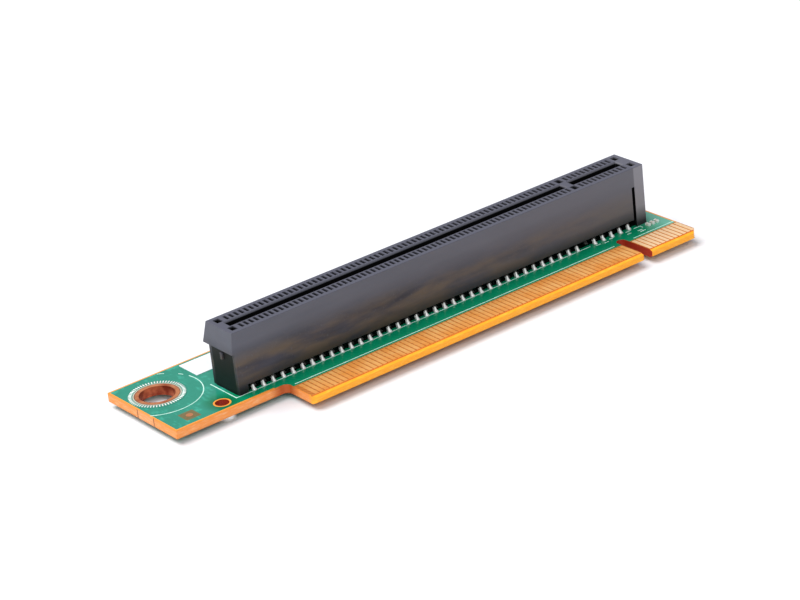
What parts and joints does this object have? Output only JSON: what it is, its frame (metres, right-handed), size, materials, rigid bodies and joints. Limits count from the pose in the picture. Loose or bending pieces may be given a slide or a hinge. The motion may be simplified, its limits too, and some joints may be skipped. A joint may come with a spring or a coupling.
{
  "type": "pcie riser card",
  "caption": "Flat riser board with a long keyed card slot on its face, a notched gold edge tongue along the front and a plated mounting hole at one end.",
  "frame": {"origin": "axis of the plated mounting hole at the board's underside", "axes": "+X along the board from the mounting hole to the short-finger end, +Y from the edge tongue to the rear edge, +Z out of the card slot"},
  "size_m": [0.1066, 0.0279, 0.0139],
  "materials": {
    "solder_mask": "gloss",
    "housing_resin": "satin",
    "tinned_contact": "satin",
    "gold_plating": "polished",
    "bare_copper": "satin",
    "label_film": "matte",
    "chip_ceramic": "satin",
    "chip_tin": "satin"
  },
  "bodies": {
    "root": {"circuit_board": "solder_mask", "slot_housing": "housing_resin", "contacts_front_outer": "tinned_contact", "contacts_front_inner": "tinned_contact", "contacts_rear_outer": "tinned_contact", "contacts_rear_inner": "tinned_contact", "fingers_top_long": "gold_plating", "fingers_top_short": "gold_plating", "fingers_bottom_long": "gold_plating", "fingers_bottom_short": "gold_plating", "mounting_hole_plating": "bare_copper", "fiducial_mark": "bare_copper", "label": "label_film", "chip_1_body": "chip_ceramic", "chip_1_terminals": "chip_tin", "chip_2_body": "chip_ceramic", "chip_2_terminals": "chip_tin", "chip_3_body": "chip_ceramic", "chip_3_terminals": "chip_tin"}
  },
  "joints": []
}
